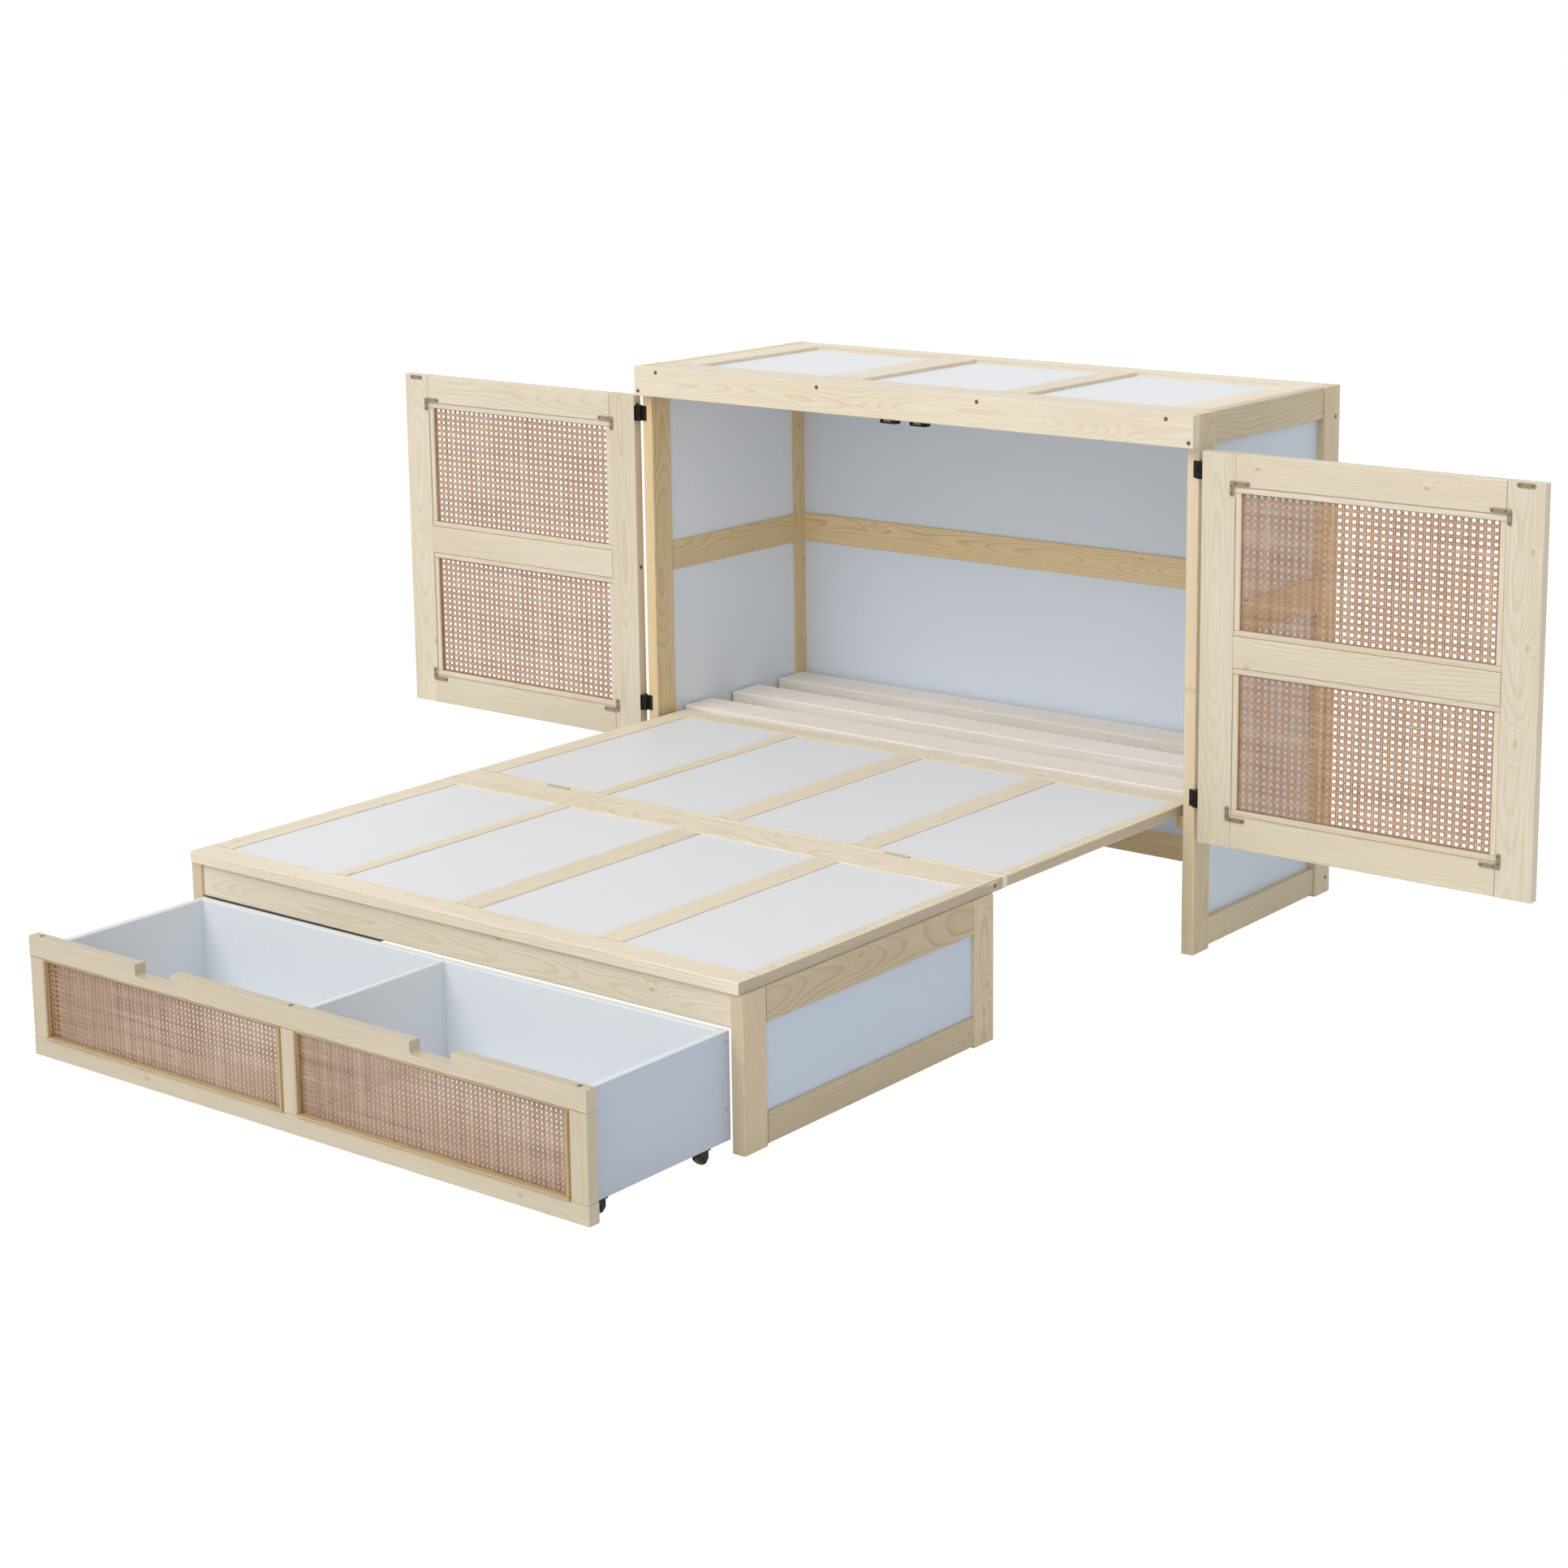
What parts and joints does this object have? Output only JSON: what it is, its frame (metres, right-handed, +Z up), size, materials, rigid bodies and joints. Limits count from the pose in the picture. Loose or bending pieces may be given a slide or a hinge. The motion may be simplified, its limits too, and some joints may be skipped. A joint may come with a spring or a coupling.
{
  "type": "cabinet bed",
  "caption": "Pine cabinet with caned doors whose fold-over platform rests on a wheeled-drawer base, standing open as a bed.",
  "frame": {"origin": "on the floor under the middle of the whole open bed", "axes": "+X across the bed to the sleeper's left seen from the foot, +Y from the foot of the bed to the cabinet's back, +Z up"},
  "size_m": [2.946, 2.344, 1.11],
  "materials": {
    "pine": "clear lacquered pine, satin",
    "white_board": "white melamine board, satin",
    "blue_board": "pale grey-blue painted board, satin",
    "slat_pine": "bare planed pine",
    "cane": "woven cane webbing, natural",
    "black_metal": "black, satin",
    "aged_brass": "antique brass",
    "caster_wheel": "brown",
    "hinge_steel": "plated steel"
  },
  "bodies": {
    "cabinet": {"post_front_left": "pine", "post_front_right": "pine", "post_rear_left": "pine", "post_rear_right": "pine", "top_fascia": "pine", "top_frame": "pine", "top_boards": "white_board", "side_rails_left": "pine", "side_rails_right": "pine", "side_panels_left": "blue_board", "side_panels_right": "blue_board", "back_rails": "pine", "back_panels": "blue_board", "side_ledgers": "pine", "slats": "slat_pine", "magnet_catches": "black_metal", "cabinet_bolts": "aged_brass", "cabinet_hinge_leaves": "black_metal"},
    "base": {"front_panel_rails": "pine", "front_panel_boards": "white_board", "front_panel_bolts": "aged_brass", "fold_hinge_front_leaves": "hinge_steel", "base_front_legs": "pine", "base_rear_legs": "pine", "base_side_rails": "pine", "base_side_panels": "blue_board", "base_apron": "pine", "base_rear_rails": "pine"},
    "rear_panel": {"rear_panel_rails": "pine", "rear_panel_boards": "white_board", "fold_hinge_rear_leaves": "hinge_steel"},
    "drawer": {"drawer_front_frame": "pine", "drawer_front_cane": "cane", "drawer_front_beads": "pine", "drawer_bolts": "aged_brass", "drawer_sides": "blue_board", "drawer_back": "blue_board", "drawer_bottom": "blue_board", "drawer_divider": "blue_board", "caster_forks": "black_metal"},
    "left_door": {"left_door_stiles": "pine", "left_door_rails": "pine", "left_door_cane": "cane", "left_door_beads": "pine", "left_door_braces": "aged_brass", "left_door_strike": "aged_brass", "left_door_hinge_leaves": "black_metal", "left_door_bolts": "aged_brass"},
    "right_door": {"right_door_stiles": "pine", "right_door_rails": "pine", "right_door_cane": "cane", "right_door_beads": "pine", "right_door_braces": "aged_brass", "right_door_strike": "aged_brass", "right_door_hinge_leaves": "black_metal", "right_door_bolts": "aged_brass"},
    "wheel_front_left_body": {"wheel_front_left": "caster_wheel"},
    "wheel_front_right_body": {"wheel_front_right": "caster_wheel"},
    "wheel_rear_left_body": {"wheel_rear_left": "caster_wheel"},
    "wheel_rear_right_body": {"wheel_rear_right": "caster_wheel"}
  },
  "joints": [
    {"name": "left_door_hinge", "type": "hinge", "parent": "cabinet", "child": "left_door", "pos_m": [-0.737, 0.594, 0.64], "axis": [0, 0, 1], "range_deg": [0, 90]},
    {"name": "right_door_hinge", "type": "hinge", "parent": "cabinet", "child": "right_door", "pos_m": [0.737, 0.594, 0.64], "axis": [0, 0, 1], "range_deg": [-90, 0]},
    {"name": "base_slide", "type": "slide", "parent": "cabinet", "child": "base", "axis": [0, 1, 0], "range_m": [0, 0.64]},
    {"name": "rear_panel_fold", "type": "hinge", "parent": "base", "child": "rear_panel", "pos_m": [0, -0.014, 0.3075], "axis": [1, 0, 0], "range_deg": [0, 180]},
    {"name": "drawer_slide", "type": "slide", "parent": "base", "child": "drawer", "axis": [0, 1, 0], "range_m": [0, 0.36]},
    {"name": "wheel_front_left_spin", "type": "hinge", "parent": "drawer", "child": "wheel_front_left_body", "pos_m": [-0.6514, -1.105, 0.0105], "axis": [1, 0, 0], "continuous": true},
    {"name": "wheel_front_right_spin", "type": "hinge", "parent": "drawer", "child": "wheel_front_right_body", "pos_m": [0.6514, -1.105, 0.0105], "axis": [1, 0, 0], "continuous": true},
    {"name": "wheel_rear_left_spin", "type": "hinge", "parent": "drawer", "child": "wheel_rear_left_body", "pos_m": [-0.6514, -0.849, 0.0105], "axis": [1, 0, 0], "continuous": true},
    {"name": "wheel_rear_right_spin", "type": "hinge", "parent": "drawer", "child": "wheel_rear_right_body", "pos_m": [0.6514, -0.849, 0.0105], "axis": [1, 0, 0], "continuous": true}
  ],
  "couplings": [
    {"joint": "rear_panel_fold", "follows": "base_slide", "rad_per_m": 4.9}
  ]
}
